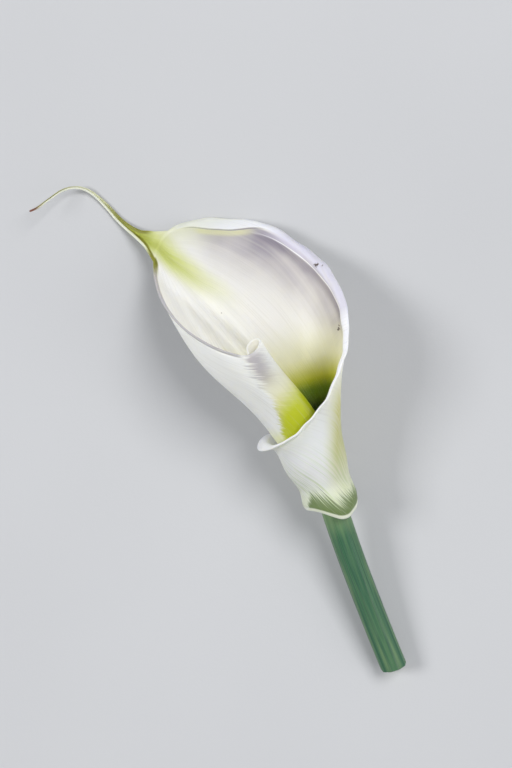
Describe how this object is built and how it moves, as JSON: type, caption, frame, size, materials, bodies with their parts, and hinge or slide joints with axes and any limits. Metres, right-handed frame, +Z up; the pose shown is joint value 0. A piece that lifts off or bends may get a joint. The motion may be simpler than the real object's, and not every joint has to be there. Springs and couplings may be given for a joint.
{
  "type": "calla lily flower",
  "caption": "Cut calla lily flower lying on its back: a white spathe rolled into a funnel with a long curled tail, round a yellow spadix, on a short green stalk.",
  "frame": {"origin": "on the ground, under the middle of the flower's bounding box", "axes": "+Z up with the flower lying on its back and its mouth upwards; +Y from the cut end of the stalk to the tip of the spathe; +X to the side the rolled rim sweeps round"},
  "size_m": [0.1146, 0.2394, 0.0563],
  "materials": {
    "spathe": "waxy petal tissue, cream white with yellow-green throat",
    "stalk": "smooth waxy green stalk",
    "spadix_foot": "fleshy pale green",
    "spadix_pollen": "powdery yellow"
  },
  "bodies": {
    "root": {"spathe": "spathe", "peduncle": "stalk", "spadix_female": "spadix_foot", "spadix_male": "spadix_pollen"}
  },
  "joints": []
}
